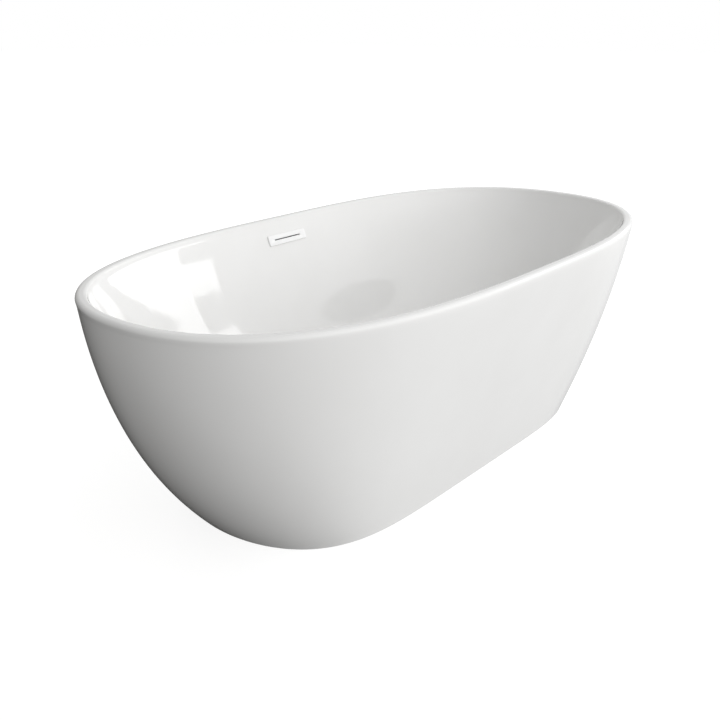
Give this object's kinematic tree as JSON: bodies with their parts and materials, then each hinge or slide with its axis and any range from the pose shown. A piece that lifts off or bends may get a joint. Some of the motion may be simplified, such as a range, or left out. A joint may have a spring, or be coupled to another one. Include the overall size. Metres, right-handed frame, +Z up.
{
  "type": "freestanding bathtub",
  "caption": "Double-ended oval freestanding bathtub with tapering sides, a soft rounded rim, a slotted overflow and a pop-up drain stopper.",
  "frame": {"origin": "on the floor under the middle of the tub", "axes": "+X along the length, +Y towards the side with the overflow, +Z up"},
  "size_m": [1.7, 0.86, 0.55],
  "materials": {
    "white_acrylic": "deep gloss",
    "white_plastic": "gloss",
    "laminate": "rough glass-fibre laminate",
    "chipboard": "raw board",
    "galvanised_steel": "spangled zinc",
    "zinc_plated_steel": "bright zinc",
    "black_rubber": "matt",
    "grey_plastic": "moulded, satin",
    "chromed_brass": "polished"
  },
  "bodies": {
    "tub": {"basin": "white_acrylic", "skirt": "white_acrylic", "rim_bond_strip": "laminate", "baseboard": "chipboard", "rail_front": "galvanised_steel", "rail_rear": "galvanised_steel", "crossbar_left": "galvanised_steel", "crossbar_middle": "galvanised_steel", "crossbar_right": "galvanised_steel", "rail_screw_1": "zinc_plated_steel", "rail_screw_2": "zinc_plated_steel", "rail_screw_3": "zinc_plated_steel", "rail_screw_4": "zinc_plated_steel", "foot_1_weld_nut": "zinc_plated_steel", "foot_2_weld_nut": "zinc_plated_steel", "foot_3_weld_nut": "zinc_plated_steel", "foot_4_weld_nut": "zinc_plated_steel", "foot_5_weld_nut": "zinc_plated_steel", "foot_1_lock_nut": "zinc_plated_steel", "foot_2_lock_nut": "zinc_plated_steel", "foot_3_lock_nut": "zinc_plated_steel", "foot_4_lock_nut": "zinc_plated_steel", "foot_5_lock_nut": "zinc_plated_steel", "drain_top_gasket": "black_rubber", "drain_lower_gasket": "black_rubber", "overflow_gasket": "black_rubber", "drain_flange": "chromed_brass", "drain_cross": "chromed_brass", "waste_body": "grey_plastic", "outlet_nut": "grey_plastic", "overflow_duct": "grey_plastic", "overflow_hose": "grey_plastic", "stopper_cartridge": "white_plastic", "overflow_plate": "white_plastic", "hose_clip_upper": "zinc_plated_steel", "hose_clip_lower": "zinc_plated_steel"},
    "stopper": {"stopper_cap": "white_plastic", "stopper_seal": "black_rubber", "stopper_stem": "chromed_brass"},
    "foot_1_height_body": {"foot_1_pad": "black_rubber"},
    "foot_1_screw_body": {"foot_1_stud": "zinc_plated_steel"},
    "foot_2_height_body": {"foot_2_pad": "black_rubber"},
    "foot_2_screw_body": {"foot_2_stud": "zinc_plated_steel"},
    "foot_3_height_body": {"foot_3_pad": "black_rubber"},
    "foot_3_screw_body": {"foot_3_stud": "zinc_plated_steel"},
    "foot_4_height_body": {"foot_4_pad": "black_rubber"},
    "foot_4_screw_body": {"foot_4_stud": "zinc_plated_steel"},
    "foot_5_height_body": {"foot_5_pad": "black_rubber"},
    "foot_5_screw_body": {"foot_5_stud": "zinc_plated_steel"}
  },
  "joints": [
    {"name": "stopper_lift", "type": "slide", "parent": "tub", "child": "stopper", "axis": [0, 0, 1], "range_m": [0, 0.01]},
    {"name": "foot_1_height", "type": "slide", "parent": "tub", "child": "foot_1_height_body", "axis": [0, 0, -1], "range_m": [-0.006, 0.02]},
    {"name": "foot_1_turn", "type": "hinge", "parent": "foot_1_height_body", "child": "foot_1_screw_body", "pos_m": [-0.38, -0.19, 0.05], "axis": [0, 0, -1], "range_deg": [-1240, 4120]},
    {"name": "foot_2_height", "type": "slide", "parent": "tub", "child": "foot_2_height_body", "axis": [0, 0, -1], "range_m": [-0.006, 0.02]},
    {"name": "foot_2_turn", "type": "hinge", "parent": "foot_2_height_body", "child": "foot_2_screw_body", "pos_m": [0.38, -0.19, 0.05], "axis": [0, 0, -1], "range_deg": [-1240, 4120]},
    {"name": "foot_3_height", "type": "slide", "parent": "tub", "child": "foot_3_height_body", "axis": [0, 0, -1], "range_m": [-0.006, 0.02]},
    {"name": "foot_3_turn", "type": "hinge", "parent": "foot_3_height_body", "child": "foot_3_screw_body", "pos_m": [-0.38, 0.19, 0.05], "axis": [0, 0, -1], "range_deg": [-1240, 4120]},
    {"name": "foot_4_height", "type": "slide", "parent": "tub", "child": "foot_4_height_body", "axis": [0, 0, -1], "range_m": [-0.006, 0.02]},
    {"name": "foot_4_turn", "type": "hinge", "parent": "foot_4_height_body", "child": "foot_4_screw_body", "pos_m": [0.38, 0.19, 0.05], "axis": [0, 0, -1], "range_deg": [-1240, 4120]},
    {"name": "foot_5_height", "type": "slide", "parent": "tub", "child": "foot_5_height_body", "axis": [0, 0, -1], "range_m": [-0.006, 0.02]},
    {"name": "foot_5_turn", "type": "hinge", "parent": "foot_5_height_body", "child": "foot_5_screw_body", "pos_m": [0.15, 0, 0.05], "axis": [0, 0, -1], "range_deg": [-1240, 4120]}
  ],
  "couplings": [
    {"joint": "foot_1_turn", "follows": "foot_1_height", "rad_per_m": 3590.4},
    {"joint": "foot_2_turn", "follows": "foot_2_height", "rad_per_m": 3590.4},
    {"joint": "foot_3_turn", "follows": "foot_3_height", "rad_per_m": 3590.4},
    {"joint": "foot_4_turn", "follows": "foot_4_height", "rad_per_m": 3590.4},
    {"joint": "foot_5_turn", "follows": "foot_5_height", "rad_per_m": 3590.4}
  ]
}
